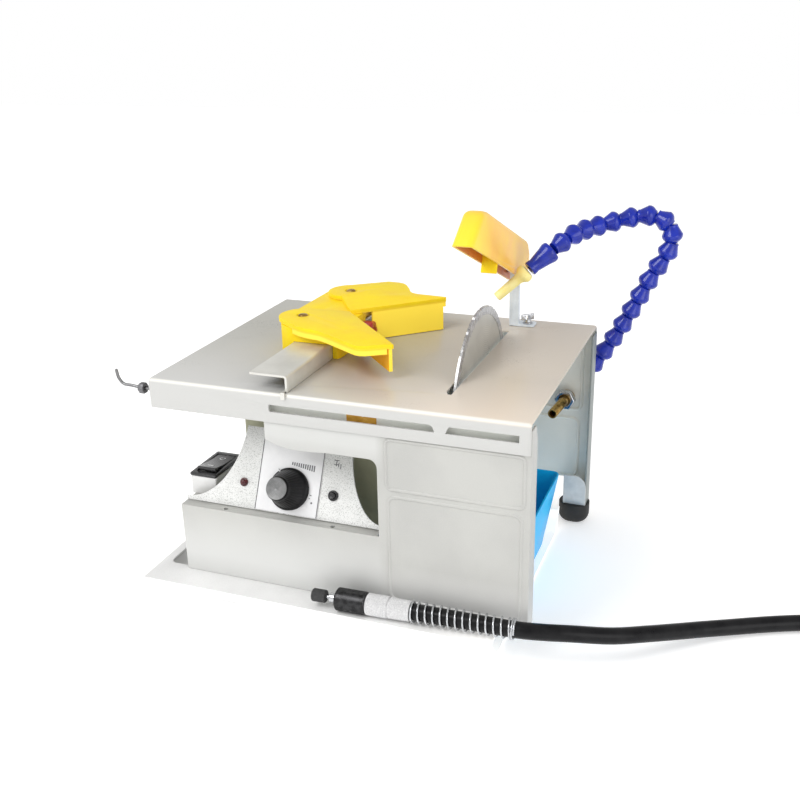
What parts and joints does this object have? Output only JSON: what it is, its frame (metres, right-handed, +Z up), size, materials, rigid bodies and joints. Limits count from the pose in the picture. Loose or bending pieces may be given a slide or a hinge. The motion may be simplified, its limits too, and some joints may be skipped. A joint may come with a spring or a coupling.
{
  "type": "cabbing machine",
  "caption": "Small bench lapidary machine with a slotted sheet table, saw blade, tilting guard with jointed coolant hose, V guide on a fence, speed control and flexible-shaft handpiece.",
  "frame": {"origin": "centre of the base pan's underside, on the bench, midway between the table's sides and its front and back edges", "axes": "+X to the right along the front edge, +Y to the back, +Z up"},
  "size_m": [0.7254, 0.309, 0.3252],
  "materials": {
    "pan_white": "satin white paint",
    "table_paint": "warm grey powder coat",
    "body_paint": "off-white powder coat",
    "rear_paint": "blue-grey powder coat",
    "black_rubber": "matt",
    "panel_silver": "speckled silver paint",
    "label_pale": "matt pale sheet",
    "knob_black": "satin black",
    "cap_grey": "concentric brushed grey",
    "dark_steel": "dark, satin",
    "bright_steel": "bright, brushed",
    "lamp_red": "glossy red lens",
    "switch_black": "semi-gloss black",
    "box_grey": "matt grey",
    "aluminium": "mill finish",
    "brass": "worn brass",
    "guide_yellow": "moulded yellow plastic",
    "guard_orange": "moulded amber plastic",
    "tray_blue": "moulded sky blue plastic",
    "hose_blue": "glossy deep blue",
    "clamp_red": "glossy red",
    "sheath_black": "glossy black sheath",
    "sleeve_silver": "knurled bright sleeve",
    "motor_dark": "dark lacquer"
  },
  "bodies": {
    "body": {"base_pan": "pan_white", "table_top": "table_paint", "front_panel": "body_paint", "side_panel": "body_paint", "rear_panel": "rear_paint", "rear_foot_right": "black_rubber", "rear_foot_left": "black_rubber", "control_panel": "panel_silver", "label_plate": "label_pale", "potentiometer": "dark_steel", "power_lamp": "lamp_red", "button_collar": "dark_steel", "switch_box": "box_grey", "switch_bezel": "switch_black", "motor_housing": "motor_dark", "motor_cap_right": "aluminium", "motor_cap_left": "aluminium", "motor_bracket": "dark_steel", "bearing_block": "aluminium", "guard_post": "bright_steel", "guard_pin": "bright_steel", "brass_fitting": "brass", "fitting_nut": "bright_steel", "coolant_hose": "hose_blue", "rest_hook": "bright_steel", "hook_nut": "dark_steel", "handpiece_sleeve": "sleeve_silver", "strain_spring": "bright_steel", "flex_sheath": "sheath_black", "flex_coil": "sheath_black", "flex_tail": "sheath_black", "drive_coupling": "bright_steel"},
    "knob": {"speed_knob": "knob_black", "knob_cap": "cap_grey", "knob_shaft": "bright_steel"},
    "button": {"reset_button": "switch_black"},
    "rocker": {"switch_rocker": "switch_black"},
    "drive": {"spindle": "bright_steel", "rotor": "dark_steel", "inner_flange": "bright_steel", "saw_blade": "bright_steel", "outer_flange": "bright_steel", "arbor_nut": "bright_steel", "tool_chuck": "dark_steel"},
    "tray": {"water_tray": "tray_blue"},
    "fence_rail": {"fence": "aluminium"},
    "slider": {"guide_slider": "guide_yellow", "guide_pin_front": "brass", "guide_pin_rear": "brass"},
    "arm_front": {"guide_arm_front": "guide_yellow"},
    "arm_rear": {"guide_arm_rear": "guide_yellow"},
    "clamp": {"clamp_knob": "clamp_red"},
    "foot_screw": {"post_screw": "bright_steel"},
    "guard": {"guard_hood": "guard_orange", "water_nozzle": "guide_yellow", "hose_connector": "hose_blue", "hose_end": "hose_blue"},
    "chuck": {"polishing_tip": "dark_steel", "collet_nose": "bright_steel", "handpiece_chuck": "knob_black"}
  },
  "joints": [
    {"name": "knob_turn", "type": "hinge", "parent": "body", "child": "knob", "pos_m": [-0.046, -0.10615, 0.10471], "axis": [0, -0.8988, 0.4384], "range_deg": [-140, 140]},
    {"name": "button_press", "type": "slide", "parent": "body", "child": "button", "axis": [0, 0.8988, -0.4384], "range_m": [0, 0.002], "stiffness_N_per_m": 300},
    {"name": "rocker_tilt", "type": "hinge", "parent": "body", "child": "rocker", "pos_m": [-0.13175, -0.0775, 0.1013], "axis": [1, 0, 0], "range_deg": [0, 14]},
    {"name": "spindle_spin", "type": "hinge", "parent": "body", "child": "drive", "pos_m": [0, 0, 0.165], "axis": [1, 0, 0], "continuous": true},
    {"name": "tray_slide", "type": "slide", "parent": "body", "child": "tray", "axis": [1, 0, 0], "range_m": [0, 0.1]},
    {"name": "fence_slide", "type": "slide", "parent": "body", "child": "fence_rail", "axis": [1, 0, 0], "range_m": [-0.06, 0.045]},
    {"name": "guide_slide", "type": "slide", "parent": "fence_rail", "child": "slider", "axis": [0, 1, 0], "range_m": [-0.06, 0.03]},
    {"name": "front_arm_turn", "type": "hinge", "parent": "slider", "child": "arm_front", "pos_m": [-0.07, -0.016, 0.222], "axis": [0, 0, 1], "range_deg": [-20, 0]},
    {"name": "rear_arm_turn", "type": "hinge", "parent": "slider", "child": "arm_rear", "pos_m": [-0.062, 0.07, 0.222], "axis": [0, 0, 1], "range_deg": [0, 20]},
    {"name": "clamp_turn", "type": "hinge", "parent": "slider", "child": "clamp", "pos_m": [-0.02, 0.0105, 0.2075], "axis": [1, 0, 0], "range_deg": [0, 360]},
    {"name": "foot_screw_turn", "type": "hinge", "parent": "body", "child": "foot_screw", "pos_m": [0.099, 0.1045, 0.2], "axis": [0, 0, 1], "range_deg": [0, 360]},
    {"name": "guard_tilt", "type": "hinge", "parent": "body", "child": "guard", "pos_m": [0.0845, 0.1005, 0.247], "axis": [1, 0, 0], "range_deg": [-30, 16], "deforming": ["hose_end"]},
    {"name": "handpiece_spin", "type": "hinge", "parent": "body", "child": "chuck", "pos_m": [0.021, -0.1397, 0.0316], "axis": [0.9996, 0.0279, 0], "continuous": true}
  ]
}
